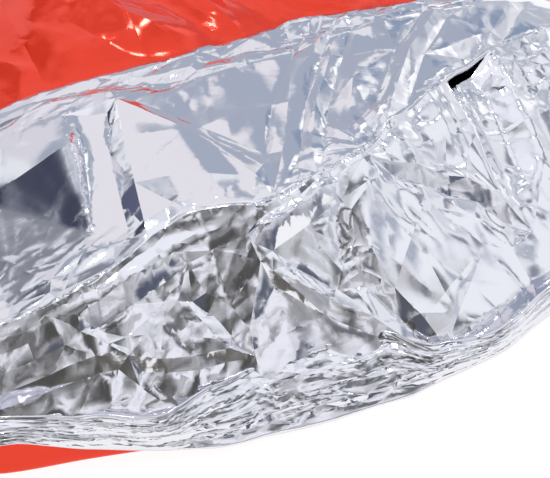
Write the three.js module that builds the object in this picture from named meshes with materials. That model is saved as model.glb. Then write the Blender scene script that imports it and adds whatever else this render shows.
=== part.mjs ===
// An emergency sleeping bag of aluminised film, lying open with its mouth cuffed back.
// Two film panels, orange outside and silver inside, are heat sealed along both sides and the foot.
// The upper panel is turned back over itself at the mouth, and the lower one stands up as a
// crumpled lip whose edge is turned out and down. Behind the lip it swells up under the upper panel.
// Millimetres, +Z up. X runs across the bag and Y along it, from the mouth to the foot.
import * as THREE from "three";

// Driving sizes
const FILM = 1.2; // the sheet's thickness
const SEAL_GAP = 0.3; // between the two panels where they are sealed
const HALF_WIDTH = 435; // from the middle to the side seal's inner edge
const SEAL_WIDTH = 12;
const FOOT_SEAL_Y = 1857; // inner edge of the foot seal, from the middle of the mouth
const MIDDLE_Y = 902; // the bag's own middle, from the middle of the mouth
const PACK_PANELS = 8; // the film was packed folded in eight across its width
const PACK_LENGTH = 132; // and every so often along its length
const PACK_PILLOW = 6; // how far the film swells between two pack creases
const PACK_RIB = 0.35; // the share of it that runs on unbroken along the bag
const ARCH_POWER = 3.6; // how flat the bag's top is across, before it falls to the seals
const FULL_CROWN = 60; // at lower crowns, towards the foot, the creases and folds fade
const HEM_WIDTH = 55; // the cuff's stiffer edge, up to its crease
const CUFF_CLEARANCE = 7; // between the cuff's edge and the panel that it lies on
const SIDE_CLEARANCE = 0.55; // the share of it at the sides
const CUFF_RISE = 4; // how far the cuff stands off between its edge and its fold
const TURN_RADIUS = 4; // of the cuff's fold, in the middle of the bag
const LIP_RADIUS = 4; // of the lower lip's fold
const SIDE_RADIUS = 3; // of the cuff's fold at the sides
const SIDE_LIP_RADIUS = 2; // of the lip's fold at the sides
const FLOOR_BEND = 5; // where the lower panel turns up from the floor
const HEM_BULGE = 3; // how far the turned-out lower edge swells
const WALL_APRON = { from: 8, to: 45 }; // from the wall's foot, where the floor folds rise
const MOUTH_END = { from: 330, to: 400 }; // where they end: past it the lower panel lies plain
const MOUTH_ROWS_END = 412;
const SWELL_START = 18; // from the wall's foot, where the lower panel begins to swell
const CREST_LEAD = 4; // from the cuff's fold forward to where the swell reaches its crest
const CREST_LENGTH = 28; // how far it runs on level
const SWELL_FALL = 80; // the length over which it then falls to the floor
const CREST_FOLDS = 0.1; // the share of the floor folds that is left at the crest
const MOUTH_LOFT = 8; // how far the crumpled film stands up between its folds

// Rows of the mesh along the film, and columns across it
const COLUMNS_PER_PANEL = 5;
const UPPER_ROWS = { cuff: 16, turn: 5, covered: 7, body: 23 };
const LOWER_ROWS = { cuff: 5, turn: 4, wall: 4, bend: 2, mouth: 19, body: 9 };

const FLOOR_Z = FILM / 2;
const SEAL_Z = FLOOR_Z + FILM + SEAL_GAP;
const EDGE_X = HALF_WIDTH + SEAL_WIDTH;

// The mouth, station by station across the bag. y is measured from the middle of the mouth.
// ridge: the fold over which the upper panel turns back. cuff_y: the free edge of what is turned back.
const UPPER_MOUTH = [
  { x: -447, ridge_y: 60, ridge_z: 11, cuff_y: 388 },
  { x: -435, ridge_y: 62, ridge_z: 22, cuff_y: 388 },
  { x: -405, ridge_y: 78, ridge_z: 60, cuff_y: 386 },
  { x: -380, ridge_y: 79, ridge_z: 75, cuff_y: 384 },
  { x: -310, ridge_y: 65, ridge_z: 93, cuff_y: 383 },
  { x: -250, ridge_y: 70, ridge_z: 111, cuff_y: 381 },
  { x: -174, ridge_y: 98, ridge_z: 131, cuff_y: 379 },
  { x: -115, ridge_y: 81, ridge_z: 135, cuff_y: 377 },
  { x: -41, ridge_y: 105, ridge_z: 133, cuff_y: 382 },
  { x: 13, ridge_y: 127, ridge_z: 130, cuff_y: 388 },
  { x: 58, ridge_y: 168, ridge_z: 124, cuff_y: 395 },
  { x: 144, ridge_y: 228, ridge_z: 112, cuff_y: 396 },
  { x: 220, ridge_y: 276, ridge_z: 102, cuff_y: 396 },
  { x: 329, ridge_y: 325, ridge_z: 81, cuff_y: 418 },
  { x: 400, ridge_y: 372, ridge_z: 56, cuff_y: 442 },
  { x: 435, ridge_y: 381, ridge_z: 22, cuff_y: 449 },
  { x: 447, ridge_y: 388, ridge_z: 11, cuff_y: 452 },
];

// lip: the crest of the lower lip. hem: the free edge of its cuff. foot_y: where it leaves the floor.
// swell_z: how high the panel swells behind the lip, under the upper panel's fold.
const LOWER_MOUTH = [
  { x: -447, lip_y: 50, lip_z: 8, hem_y: 43, hem_z: 3, foot_y: 50, swell_z: 0 },
  { x: -435, lip_y: 44, lip_z: 14, hem_y: 36, hem_z: 5, foot_y: 44, swell_z: 0 },
  { x: -405, lip_y: -4, lip_z: 52, hem_y: -18, hem_z: 42, foot_y: -6, swell_z: 44 },
  { x: -380, lip_y: -15, lip_z: 62, hem_y: -37, hem_z: 50, foot_y: -22, swell_z: 60 },
  { x: -310, lip_y: -31, lip_z: 53, hem_y: -44, hem_z: 26, foot_y: -32, swell_z: 78 },
  { x: -250, lip_y: -40, lip_z: 43, hem_y: -55, hem_z: 11, foot_y: -42, swell_z: 96 },
  { x: -174, lip_y: -22, lip_z: 39, hem_y: -64, hem_z: 4, foot_y: -53, swell_z: 116 },
  { x: -115, lip_y: -17, lip_z: 42, hem_y: -65, hem_z: 3, foot_y: -54, swell_z: 120 },
  { x: -41, lip_y: -12, lip_z: 40, hem_y: -64, hem_z: 3, foot_y: -53, swell_z: 118 },
  { x: 13, lip_y: -37, lip_z: 32, hem_y: -56, hem_z: 3, foot_y: -45, swell_z: 115 },
  { x: 58, lip_y: -36, lip_z: 25, hem_y: -48, hem_z: 3, foot_y: -38, swell_z: 109 },
  { x: 144, lip_y: -6, lip_z: 34, hem_y: -15, hem_z: 3, foot_y: -4, swell_z: 95 },
  { x: 220, lip_y: 38, lip_z: 46, hem_y: 27, hem_z: 3, foot_y: 39, swell_z: 53 },
  { x: 329, lip_y: 150, lip_z: 52, hem_y: 138, hem_z: 3, foot_y: 151, swell_z: 58 },
  { x: 400, lip_y: 275, lip_z: 36, hem_y: 264, hem_z: 3, foot_y: 276, swell_z: 35 },
  { x: 435, lip_y: 366, lip_z: 14, hem_y: 358, hem_z: 4, foot_y: 367, swell_z: 0 },
  { x: 447, lip_y: 376, lip_z: 8, hem_y: 369, hem_z: 3, foot_y: 376, swell_z: 0 },
];

// The crown of the upper panel along the bag, under which the air stands
const CROWN = [
  { y: 380, z: 106 },
  { y: 560, z: 114 },
  { y: 900, z: 113 },
  { y: 1250, z: 109 },
  { y: 1500, z: 98 },
  { y: 1680, z: 74 },
  { y: 1790, z: 40 },
  { y: FOOT_SEAL_Y, z: SEAL_Z },
];

// Main folds, each a ridge (or, where height is negative, a trough) with straight sides.
// from and to are places seen from above, and reach is how far each side runs out.
const CUFF_FOLDS = [
  { from: [-170, 322], to: [-212, 96], height: 16, reach: 62 },
  { from: [-170, 322], to: [-98, 132], height: 10, reach: 46 },
  { from: [-98, 132], to: [-93, 84], height: 13, reach: 40 },
  { from: [80, 392], to: [-16, 244], height: 14, reach: 44 },
  { from: [-16, 244], to: [-92, 92], height: 13, reach: 42 },
  { from: [200, 376], to: [74, 212], height: 14, reach: 48 },
  { from: [74, 212], to: [13, 132], height: 12, reach: 40 },
  { from: [312, 398], to: [184, 264], height: 13, reach: 44 },
  { from: [-330, 168], to: [-212, 108], height: 13, reach: 42 },
  { from: [-233, 256], to: [-250, 132], height: -10, reach: 52 },
  { from: [-250, 132], to: [-330, 205], height: -9, reach: 40 },
  { from: [20, 176], to: [136, 372], height: -9, reach: 40 },
];
const FLOOR_FOLDS = [
  { from: [-130, 56], to: [19, 138], height: 20, reach: 26 },
  { from: [19, 138], to: [88, 113], height: 20, reach: 26 },
  { from: [88, 113], to: [166, 74], height: 20, reach: 30 },
  { from: [40, 112], to: [120, 72], height: -10, reach: 22 },
  { from: [19, 138], to: [5, 71], height: 16, reach: 28 },
  { from: [-109, 46], to: [-26, -1], height: 18, reach: 28 },
  { from: [-23, 40], to: [4, 12], height: 16, reach: 26 },
  { from: [-199, 49], to: [-165, 6], height: 20, reach: 28 },
  { from: [-260, 21], to: [-165, 6], height: 16, reach: 24 },
  { from: [-274, 39], to: [-148, 67], height: 16, reach: 26 },
  { from: [-370, 23], to: [-260, 21], height: 18, reach: 28 },
  { from: [-359, 53], to: [-302, 60], height: 14, reach: 28 },
  { from: [36, 48], to: [82, 11], height: 16, reach: 30 },
  { from: [163, 198], to: [260, 213], height: 24, reach: 44 },
  { from: [260, 213], to: [300, 296], height: 20, reach: 40 },
  { from: [163, 198], to: [205, 100], height: 18, reach: 38 },
  { from: [19, 138], to: [163, 198], height: 14, reach: 32 },
  { from: [205, 100], to: [252, 132], height: 16, reach: 34 },
];
const BODY_FOLDS = [
  { from: [-66, 384], to: [-150, 530], height: 16, reach: 40 },
  { from: [2, 392], to: [-40, 520], height: 9, reach: 32 },
  { from: [-300, 420], to: [-215, 640], height: -14, reach: 62 },
  { from: [120, 404], to: [60, 560], height: 11, reach: 44 },
  { from: [330, 470], to: [200, 760], height: -16, reach: 70 },
  { from: [-150, 530], to: [-190, 820], height: 14, reach: 56 },
  { from: [-20, 700], to: [110, 1010], height: -14, reach: 64 },
  { from: [-310, 900], to: [-210, 1190], height: 16, reach: 60 },
  { from: [250, 980], to: [330, 1260], height: 14, reach: 58 },
  { from: [60, 1130], to: [-40, 1420], height: -16, reach: 66 },
  { from: [-330, 1380], to: [-250, 1700], height: -14, reach: 58 },
  { from: [180, 1400], to: [230, 1690], height: 16, reach: 54 },
  { from: [-110, 1480], to: [-150, 1760], height: 14, reach: 46 },
];

// The value of a table's column at a place, run smoothly through its rows
function along(table, key, column, place) {
  let i = table.findIndex((row) => row[key] > place) - 1;
  if (i === -2) i = table.length - 2;
  i = Math.max(0, i);
  const [a, b] = [table[i], table[i + 1]];
  const t = THREE.MathUtils.clamp((place - a[key]) / (b[key] - a[key]), 0, 1);
  const slope = (low, high) => (high[column] - low[column]) / (high[key] - low[key]);
  const here = slope(a, b);
  const tangent = (before, after) => (before * after <= 0 ? 0 : (2 * before * after) / (before + after));
  const start = i > 0 ? tangent(slope(table[i - 1], a), here) : here;
  const end = i < table.length - 2 ? tangent(here, slope(b, table[i + 2])) : here;
  const span = b[key] - a[key];
  const [t2, t3] = [t * t, t * t * t];
  return (
    a[column] * (2 * t3 - 3 * t2 + 1) +
    span * start * (t3 - 2 * t2 + t) +
    b[column] * (3 * t2 - 2 * t3) +
    span * end * (t3 - t2)
  );
}

const upperMouth = (column, x) => along(UPPER_MOUTH, "x", column, x);
const lowerMouth = (column, x) => along(LOWER_MOUTH, "x", column, x);
const mix = THREE.MathUtils.lerp;
const steps = (count) => Array.from({ length: count }, (_, i) => (i + 1) / count);

// How far a set of folds lifts the film at a place: its highest ridge less its deepest trough
function folded(folds, x, y) {
  let ridge = 0;
  let trough = 0;
  for (const { from, to, height, reach } of folds) {
    const [dx, dy] = [to[0] - from[0], to[1] - from[1]];
    const share = THREE.MathUtils.clamp(
      ((x - from[0]) * dx + (y - from[1]) * dy) / (dx * dx + dy * dy), 0, 1);
    const away = Math.hypot(x - from[0] - share * dx, y - from[1] - share * dy);
    const lift = height * Math.max(0, 1 - away / reach);
    ridge = Math.max(ridge, lift);
    trough = Math.min(trough, lift);
  }
  return ridge + trough;
}

// 1 over most of the bag's width, falling to 0 at the side seals
const archShape = (x) => 1 - Math.min(1, Math.abs(x) / HALF_WIDTH) ** ARCH_POWER;
const turnRadius = (x) => mix(SIDE_RADIUS, TURN_RADIUS, archShape(x));
const lipRadius = (x) => mix(SIDE_LIP_RADIUS, LIP_RADIUS, archShape(x));

// The swelling between the creases in which the film was packed
function pillow(x, y) {
  const across = Math.abs(Math.sin((Math.PI * (x + HALF_WIDTH) * PACK_PANELS) / (2 * HALF_WIDTH)));
  const lengthwise = Math.abs(Math.sin((Math.PI * (y - MIDDLE_Y)) / PACK_LENGTH));
  return PACK_PILLOW * across * mix(lengthwise, 1, PACK_RIB);
}

// Heights of the upper panel's middle surface: the body, what the cuff covers, and the cuff
function bodyHeight(x, y) {
  const crown = along(CROWN, "y", "z", y) - SEAL_Z;
  const relief = (pillow(x, y) + folded(BODY_FOLDS, x, y)) * Math.min(1, crown / FULL_CROWN);
  return SEAL_Z + archShape(x) * (crown + relief);
}

function cuffShare(x, y) {
  const ridge = upperMouth("ridge_y", x);
  return (y - ridge) / (upperMouth("cuff_y", x) - ridge);
}

function coveredHeight(x, y) {
  const share = THREE.MathUtils.smoothstep(cuffShare(x, y), 0, 1);
  const front = upperMouth("ridge_z", x) - 2 * turnRadius(x);
  return mix(front, bodyHeight(x, upperMouth("cuff_y", x)), share);
}

function cuffHeight(x, y) {
  const share = cuffShare(x, y);
  const gap = mix(2 * turnRadius(x), CUFF_CLEARANCE * mix(SIDE_CLEARANCE, 1, archShape(x)), share);
  const edgeway = Math.min(1, (upperMouth("cuff_y", x) - y) / HEM_WIDTH);
  const free = Math.sqrt(Math.sin(Math.PI * THREE.MathUtils.clamp(share, 0, 1)));
  const lift = CUFF_RISE + folded(CUFF_FOLDS, x, y) * edgeway;
  return coveredHeight(x, y) + gap + archShape(x) * free * lift;
}

// The upper panel's path in its own plane x, from the cuff's free edge to the foot
function upperPath(x) {
  const [ridgeY, ridgeZ] = [upperMouth("ridge_y", x), upperMouth("ridge_z", x)];
  const edgeY = upperMouth("cuff_y", x);
  const radius = turnRadius(x);
  const path = [[edgeY, cuffHeight(x, edgeY)]];
  for (const t of steps(UPPER_ROWS.cuff)) {
    const y = mix(edgeY, ridgeY, t);
    path.push([y, cuffHeight(x, y)]);
  }
  for (const t of steps(UPPER_ROWS.turn)) {
    const angle = Math.PI * (0.5 + t);
    path.push([ridgeY + radius * Math.cos(angle), ridgeZ - radius + radius * Math.sin(angle)]);
  }
  for (const t of steps(UPPER_ROWS.covered)) {
    const y = mix(ridgeY, edgeY, t);
    path.push([y, coveredHeight(x, y)]);
  }
  for (const t of steps(UPPER_ROWS.body)) {
    const y = mix(edgeY, FOOT_SEAL_Y, t);
    path.push([y, bodyHeight(x, y)]);
  }
  path.push([FOOT_SEAL_Y + SEAL_WIDTH, SEAL_Z]);
  return path;
}

// The height of the lower panel behind its lip: a swell that falls to the floor within the bag, and folds
function floorHeight(x, y) {
  const footY = lowerMouth("foot_y", x);
  const start = footY + SWELL_START;
  const crest = upperMouth("ridge_y", x) - CREST_LEAD;
  const rise = THREE.MathUtils.clamp((y - start) / (crest - start), 0, 1);
  const fallStart = crest + CREST_LENGTH;
  const fall = 1 - THREE.MathUtils.smoothstep(y, fallStart, fallStart + SWELL_FALL);
  const fromWall = THREE.MathUtils.smoothstep(y - footY, WALL_APRON.from, WALL_APRON.to);
  const toBody = 1 - THREE.MathUtils.smoothstep(y, MOUTH_END.from, MOUTH_END.to);
  const left = mix(1, CREST_FOLDS, THREE.MathUtils.smoothstep(rise, 0.5, 1));
  const folds = Math.max(0, folded(FLOOR_FOLDS, x, y) + MOUTH_LOFT) * fromWall * left * archShape(x);
  return FLOOR_Z + (lowerMouth("swell_z", x) * rise * fall + folds) * toBody;
}

// The lower panel's path, from its cuff's free edge over the lip and down to the floor and the foot
function lowerPath(x) {
  const [lipY, lipZ] = [lowerMouth("lip_y", x), lowerMouth("lip_z", x)];
  const [hemY, hemZ] = [lowerMouth("hem_y", x), lowerMouth("hem_z", x)];
  const footY = lowerMouth("foot_y", x);
  const radius = lipRadius(x);
  const bend = Math.min(FLOOR_BEND, (lipZ - radius) / 2);
  const path = [[hemY, hemZ]];
  for (const t of steps(LOWER_ROWS.cuff)) {
    const bulge = HEM_BULGE * Math.sin(Math.PI * t) * archShape(x);
    path.push([mix(hemY, lipY - radius, t) - bulge, mix(hemZ, lipZ - radius, t)]);
  }
  for (const t of steps(LOWER_ROWS.turn)) {
    const angle = Math.PI * (1 - t);
    path.push([lipY + radius * Math.cos(angle), lipZ - radius + radius * Math.sin(angle)]);
  }
  for (const t of steps(LOWER_ROWS.wall)) {
    path.push([mix(lipY + radius, footY, t), mix(lipZ - radius, FLOOR_Z + bend, t)]);
  }
  for (const t of steps(LOWER_ROWS.bend)) {
    const angle = Math.PI * (1 + t / 2);
    path.push([footY + bend + bend * Math.cos(angle), FLOOR_Z + bend + bend * Math.sin(angle)]);
  }
  for (const t of steps(LOWER_ROWS.mouth)) {
    const y = mix(footY + bend, MOUTH_ROWS_END, t);
    path.push([y, floorHeight(x, y)]);
  }
  for (const t of steps(LOWER_ROWS.body)) {
    path.push([mix(MOUTH_ROWS_END, FOOT_SEAL_Y, t), FLOOR_Z]);
  }
  path.push([FOOT_SEAL_Y + SEAL_WIDTH, FLOOR_Z]);
  return path;
}

// Places across the film: the pack creases, what lies between them, and both seals
function columnPlaces() {
  const count = PACK_PANELS * COLUMNS_PER_PANEL;
  const inside = [0, ...steps(count)].map((t) => mix(-HALF_WIDTH, HALF_WIDTH, t));
  return [-EDGE_X, ...inside, EDGE_X];
}

// A closed sheet of the film's thickness about a net of points, columns[column][row]
function sheetGeometry(columns) {
  const [width, height] = [columns.length, columns[0].length];
  const within = (k, count) => THREE.MathUtils.clamp(k, 0, count - 1);
  const at = (i, j) => columns[within(i, width)][within(j, height)];
  const faces = [];
  const normal = new THREE.Vector3();
  const [across, down] = [new THREE.Vector3(), new THREE.Vector3()];
  const positions = [];
  for (const side of [0.5, -0.5]) {
    for (let i = 0; i < width; i++) {
      for (let j = 0; j < height; j++) {
        across.subVectors(at(i + 1, j), at(i - 1, j));
        down.subVectors(at(i, j + 1), at(i, j - 1));
        normal.crossVectors(across, down).normalize();
        positions.push(...at(i, j).clone().addScaledVector(normal, side * FILM).toArray());
      }
    }
  }
  const index = (side, i, j) => side * width * height + i * height + j;
  for (let i = 0; i + 1 < width; i++) {
    for (let j = 0; j + 1 < height; j++) {
      const [a, b, c, d] = [[i, j], [i + 1, j], [i + 1, j + 1], [i, j + 1]];
      for (const corner of [a, b, c, a, c, d]) faces.push(index(0, ...corner));
      for (const corner of [a, c, b, a, d, c]) faces.push(index(1, ...corner));
    }
  }
  const rim = [];
  for (let i = 0; i < width; i++) rim.push([i, 0]);
  for (let j = 1; j < height; j++) rim.push([width - 1, j]);
  for (let i = width - 2; i >= 0; i--) rim.push([i, height - 1]);
  for (let j = height - 2; j > 0; j--) rim.push([0, j]);
  rim.forEach((here, k) => {
    const next = rim[(k + 1) % rim.length];
    faces.push(index(0, ...next), index(0, ...here), index(1, ...here));
    faces.push(index(0, ...next), index(1, ...here), index(1, ...next));
  });
  const geometry = new THREE.BufferGeometry();
  geometry.setAttribute("position", new THREE.Float32BufferAttribute(positions, 3));
  geometry.setIndex(faces);
  geometry.computeVertexNormals();
  return geometry;
}

function panel(name, path, material) {
  const columns = columnPlaces().map((x) => path(x).map(([y, z]) => new THREE.Vector3(x, y, z)));
  const mesh = new THREE.Mesh(sheetGeometry(columns), material);
  mesh.name = name;
  return mesh;
}

// The film's two faces: orange polyethylene outside, aluminised inside
const orangeFilm = new THREE.MeshStandardMaterial({ color: 0xe9482d, roughness: 0.25, metalness: 0 });
const silverFilm = new THREE.MeshStandardMaterial({ color: 0xc9cbd2, roughness: 0.15, metalness: 1 });

const bag = new THREE.Group();
bag.add(panel("upper_panel", upperPath, orangeFilm));
bag.add(panel("lower_panel", lowerPath, silverFilm));
bag.position.y = -MIDDLE_Y;

export default bag;
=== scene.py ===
"""An emergency sleeping bag of aluminised film, lying open on a pale floor with its mouth cuffed back."""

from math import cos, pi, radians, sin

import bpy
import numpy as np
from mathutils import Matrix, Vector
from mathutils.geometry import delaunay_2d_cdt


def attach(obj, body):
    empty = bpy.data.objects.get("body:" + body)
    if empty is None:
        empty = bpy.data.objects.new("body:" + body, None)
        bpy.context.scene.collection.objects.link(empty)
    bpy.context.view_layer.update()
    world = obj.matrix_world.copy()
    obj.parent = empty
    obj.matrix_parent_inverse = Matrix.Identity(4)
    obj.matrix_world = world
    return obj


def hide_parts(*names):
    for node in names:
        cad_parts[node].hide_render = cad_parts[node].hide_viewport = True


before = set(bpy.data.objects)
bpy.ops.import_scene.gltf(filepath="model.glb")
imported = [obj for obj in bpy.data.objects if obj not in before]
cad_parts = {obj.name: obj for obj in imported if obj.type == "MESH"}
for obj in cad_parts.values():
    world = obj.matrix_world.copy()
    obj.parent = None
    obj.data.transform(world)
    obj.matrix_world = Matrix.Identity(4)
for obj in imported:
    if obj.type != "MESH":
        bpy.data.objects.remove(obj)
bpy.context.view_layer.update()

# Sizes in millimetres. x runs across the bag, y along it from the middle of the mouth, z up.
MM = 0.001
FILM = 0.5  # drawn thicker than real film, so that its two faces stay apart
FLOOR_Z = 0.6
SEAL_Z = 2.1
HALF_WIDTH = 435
SEAL_WIDTH = 12
EDGE_X = HALF_WIDTH + SEAL_WIDTH
FOOT_SEAL_Y = 1857
MIDDLE_Y = 902  # the frame's origin, from the middle of the mouth
ARCH_POWER = 3.6  # how squarely the bag's section turns down to its side seals

# The body, past the cuff
BODY_START = 380
BODY_END = 1860
NEAR_BODY_END = 580  # past it the body is meshed coarsely
DIMPLES_END = (NEAR_BODY_END - 120, NEAR_BODY_END - 10)  # its small dimples fade out between these
PACK_PANELS = 8  # the panels and the length in which the film was packed
PACK_LENGTH = 132
PACK_ROWS = (-4, 8)  # its creases across the bag, counted from the frame's origin
PACK_PILLOW = 6
PACK_RIB = 0.35
FULL_CROWN = 60  # where the bag is lower its folds are lower too
EDGE_RELIEF = 0.25  # the share of the body's folds that is left where the cuff's edge lies on it
EDGE_REACH = 60

# The cuff. A share runs from 0 on its fold to 1 on its free edge.
CUFF_Y = (40, 470)
CUFF_CLEARANCE = 5  # over the body at its free edge
SIDE_CLEARANCE = 0.55  # the share of that at the side seals
TURN_RADIUS = 1.8
SIDE_RADIUS = 1.6
FOLD_RELIEF = 0.5  # the share of its creases' height that is left on its fold
FOLD_SHARE = 0.2  # half of this share away from the fold they are at full height
FRONT_SHARES = (0.3, 0.12)  # how far the crumpling by the fold reaches, on the left and elsewhere
FRONT_LEFT = (-310, -170)
HEM_SHARES = (0.76, 0.84)  # where the crumpled hem begins
STRIP_X = (-93, 84)  # the long crease that crosses the cuff, from its fold to its hem
STRIP_Y = (100, 394)
PAST_STRIP = (10, 60)  # where the fan of folds to the right of that crease begins
CONE_START = 0.1  # the share of each line of the dent that is left smooth at its point

# The lower film's lip, the band that hangs from it outside and the wall inside
LIP_RADIUS = 1.6
SIDE_LIP_RADIUS = 1.4
FLOOR_BEND = 5
HEM_BULGE = 3
BAND_SPAN = 80  # the band's nominal width, which its creases are placed on
WALL_SPAN = 70
FULL_BAND = 40  # where the band is narrower its folds are lower too
BAND_DIP = -2.5  # its deepest dip
BAND_LOWEST = 1.5  # above the floor
HEM_RELIEF = 0.4  # the share of the band's folds that is left on its hem
HEM_SHARE = 0.2  # past this share of the band's width they are at full height

# The lower film behind the lip, which swells up under the cuff's fold
FLOOR_START = -70
WALL_APRON = (4, 26)  # behind the wall's foot its folds grow to full height between these
MOUTH_END = (330, 400)  # the swell and its folds run out between these
FAR_FLOOR_START = 410  # past it the lower panel is meshed coarsely
SWELL_START = 6  # behind the wall's foot
SWELL_FALL = 80
CREST_LEAD = 7  # before the top of the cuff's fold
CREST_LENGTH = 28
CREST_SHARE = 0.85  # how far up the swell its folds begin to be lowered
CREST_FOLDS = 0.3  # the share of them that is left on the crest
TUCK = 17  # how far the film drops behind its crest, under the fold
TUCK_LENGTH = 7
FOLD_LOFT = 4  # lifts the folds, so that their troughs have room
RIGHT_START = (-150, -30)  # the left's crumpling changes to the right's between these
RIGHT_DIMPLES = 0.4  # the share of the small dimples that is left on the right
HOLLOW = (236, 262)  # the crumpled place beside the hollow under the fold
HOLLOW_REACH = 70
HOLLOW_CORE = 0.5

# How closely the film is meshed, in millimetres between neighbours
COLUMN_STEP = 3.6
CUFF_STEP = 4.4
NEAR_BODY_STEP = 6.5
FAR_BODY_STEP = 24
BAND_STEP = 4.0
WALL_STEP = 8.0
MOUTH_FLOOR_STEP = 4.4
HIDDEN_FLOOR_STEP = 12
FAR_FLOOR_STEP = 40
CREASE_STEP = 4.6
BODY_CREASE_STEP = 10
MERGED = 0.3  # points closer than this become one
CREASE_MARGIN = 3.0  # how far creases and other points stay from the border of a zone
SPOT_MARGIN = 2.0
SPOT_CELL = 0.55  # of a step: no other point shares such a cell with a crease
ROW_SPACING = 0.866  # between rows of equal-sided triangles
SHOWN_BEHIND_RIDGE = 60  # past it the lower panel is hidden, and meshed coarsely
FOLD_ROWS = 7
COVERED_ROWS = 10
LIP_ROWS = 6
BEND_ROWS = 5

# How the film creases
CALM = 0.15  # the share of the small crumpling that is left in a calm place
CALM_CORE = 0.45
PINCH = 1.2  # how far a main crease is drawn up to a sharp edge
PINCH_REACH = 7
PINCH_LEVEL = 8  # lower creases are pinched down instead
SHARP_CREASE = 7  # degrees of turn past which a crease is a hard line
NODE_SHIFT = 0.34  # how far a random net's nodes stray, in meshes, and a zigzag's, in steps
BEND_SHIFT = 0.35
MESH_WIDE = 0.8  # the width from which a facet bulges fully, in a random net's meshes
FACET_WIDE = 26  # and between placed creases
FACET_MIDDLE = 27  # the product of a facet's three shares is 1/27 in its middle
WAVE_LENGTHS = (0.7, 1.6)  # of a ripple's nominal length
FAN_CORE = 0.45  # the share of a fan's reach, and of a calm place's above, that is full
TINY = 1e-9
SAME_PLACE = 1e-6


def table(columns, *rows):
    """Rows of numbers as one array for each named column."""
    return dict(zip(columns.split(), np.array(rows, float).T))


# Stations across the mouth: the top of the cuff's fold and the cuff's free edge, then the lower film's
# lip, the hem of the band outside it and the foot of the wall inside, and the crown along the body
UPPER_MOUTH = table(
    "x ridge_y ridge_z cuff_y",
    (-447, 60, 11, 388),
    (-435, 62, 22, 388),
    (-405, 78, 60, 386),
    (-380, 79, 75, 384),
    (-310, 65, 93, 383),
    (-250, 70, 111, 381),
    (-174, 98, 131, 379),
    (-115, 81, 135, 377),
    (-41, 105, 133, 382),
    (13, 127, 130, 388),
    (58, 168, 124, 395),
    (144, 228, 112, 396),
    (220, 276, 102, 396),
    (329, 325, 81, 418),
    (400, 372, 56, 442),
    (435, 381, 22, 449),
    (447, 388, 11, 452),
)
LOWER_MOUTH = table(
    "x lip_y lip_z hem_y hem_z foot_y",
    (-447, 50, 8, 43, 3, 50),
    (-435, 44, 14, 36, 5, 44),
    (-405, -4, 52, -18, 42, -6),
    (-380, -15, 62, -37, 50, -22),
    (-310, -31, 53, -44, 26, -32),
    (-250, -40, 43, -55, 11, -42),
    (-174, -22, 39, -64, 4, -53),
    (-115, -17, 42, -65, 3, -54),
    (-41, -12, 40, -64, 3, -53),
    (13, -37, 32, -56, 3, -45),
    (58, -36, 25, -48, 3, -38),
    (144, -6, 34, -15, 3, -4),
    (220, 38, 46, 27, 3, 39),
    (329, 150, 52, 138, 3, 151),
    (400, 275, 36, 264, 3, 276),
    (435, 366, 14, 358, 4, 367),
    (447, 376, 8, 369, 3, 376),
)
CROWN = table(
    "y z",
    (380, 106),
    (560, 114),
    (900, 113),
    (1250, 109),
    (1500, 98),
    (1680, 74),
    (1790, 40),
    (FOOT_SEAL_Y, SEAL_Z),
)

# Main creases of the cuff and of the lower film behind the lip. Each is a chain of places seen from
# above, with how far the film stands up there, and the film runs flat from one crease to the next.
# The last two chains of the floor lie outside the mouth and hold the net's two sides.
CUFF_CHAINS = (
    ((-447, 388, 0), (-360, 384, 1), (-290, 383, 0), (-224, 382, 2), (-169, 380, 0), (-110, 378, 3),
     (-60, 380, 0), (-10, 385, 2), (40, 393, 0), (84, 397, 3), (130, 396, 1), (203, 396, 2),
     (260, 404, 0), (320, 416, 2), (400, 442, 1), (447, 452, 0)),
    ((-400, 300, 3), (-340, 296, 5), (-287, 305, 7), (-224, 314, 6), (-169, 312, 9), (-125, 319, 3),
     (-83, 322, 1), (-24, 332, 0), (26, 333, 1), (62, 346, 4), (140, 358, 5), (203, 365, 6),
     (260, 378, 4), (307, 386, 5), (370, 413, 2)),
    ((-169, 312, 9), (-184, 238, 10), (-198, 163, 10), (-210, 96, 7)),
    ((-181, 301, 1), (-199, 236, 0), (-213, 161, 0), (-223, 98, 1)),
    ((-169, 312, 9), (-126, 223, 9), (-97, 122, 9), (-112, 88, 5)),
    ((-152, 303, 5), (-112, 228, 6), (-84, 137, 6)),
    ((84, 388, 3), (34, 314, 4), (-18, 236, 4), (-58, 153, 4), (-93, 90, 3)),
    ((72, 392, 1), (20, 321, 1), (-33, 242, 1), (-72, 159, 1)),
    ((96, 381, 2), (49, 311, 2), (-2, 231, 2), (-42, 149, 2), (-74, 101, 2)),
    ((102, 377, 3), (57, 307, 4), (7, 227, 5), (-33, 144, 5), (-64, 103, 4)),
    ((112, 373, 1), (68, 301, 1), (18, 221, 1), (-22, 140, 2)),
    ((203, 365, 5), (140, 294, 7), (73, 197, 8), (20, 139, 5)),
    ((192, 372, 1), (128, 302, 1), (61, 206, 2)),
    ((214, 356, 1), (152, 285, 1), (86, 190, 3)),
    ((57, 251, 6), (14, 166, 6)),
    ((307, 386, 5), (245, 314, 7), (188, 259, 5)),
    ((318, 376, 1), (255, 304, 2)),
    ((-330, 160, 6), (-267, 117, 3), (-223, 98, 1)),
    ((-447, 60, 0), (-380, 86, 1), (-333, 76, 2), (-293, 77, 4), (-250, 78, 1), (-210, 90, 4),
     (-170, 104, 2), (-112, 86, 4), (-93, 88, 4), (-41, 111, 2), (13, 131, 4), (58, 174, 2),
     (144, 235, 3), (220, 284, 1), (329, 333, 2), (400, 378, 1), (447, 388, 0)),
)
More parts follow.
